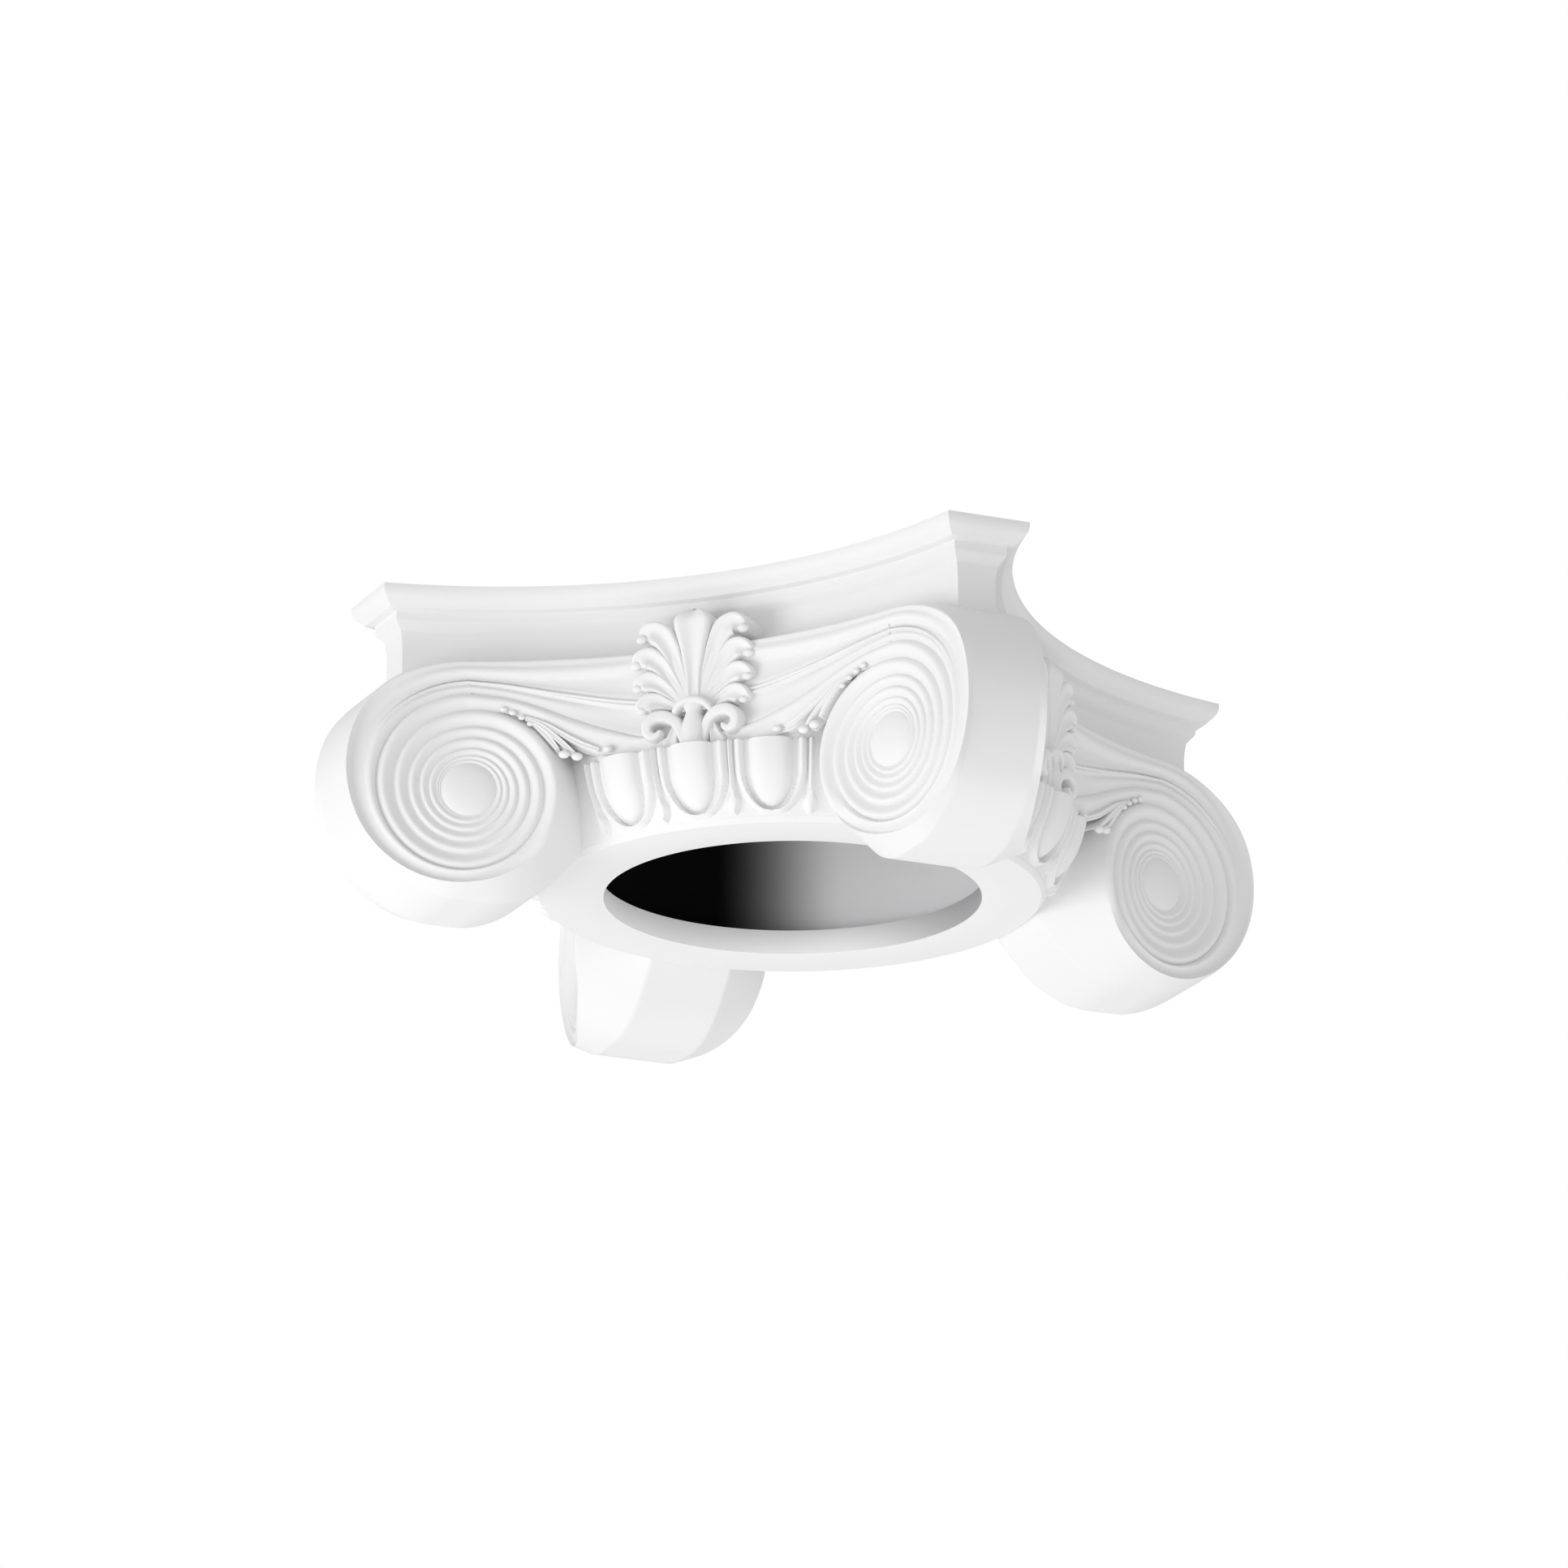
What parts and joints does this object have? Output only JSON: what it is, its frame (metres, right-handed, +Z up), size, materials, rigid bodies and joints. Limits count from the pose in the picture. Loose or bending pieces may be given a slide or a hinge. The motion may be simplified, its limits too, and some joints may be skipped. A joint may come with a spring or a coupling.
{
  "type": "ionic capital",
  "caption": "Square Ionic column capital with corner volutes, palmettes, an egg-and-dart band and a round hollow through its middle.",
  "frame": {"origin": "centre of the bounding box's bottom, level with the feet of the four volutes", "axes": "+Z up along the column's axis, -Y out of one of the four like sides"},
  "size_m": [0.4458, 0.4458, 0.1869],
  "materials": {
    "white_primer": "smooth matte white primer on moulded rigid foam"
  },
  "bodies": {
    "root": {"capital": "white_primer"}
  },
  "joints": []
}
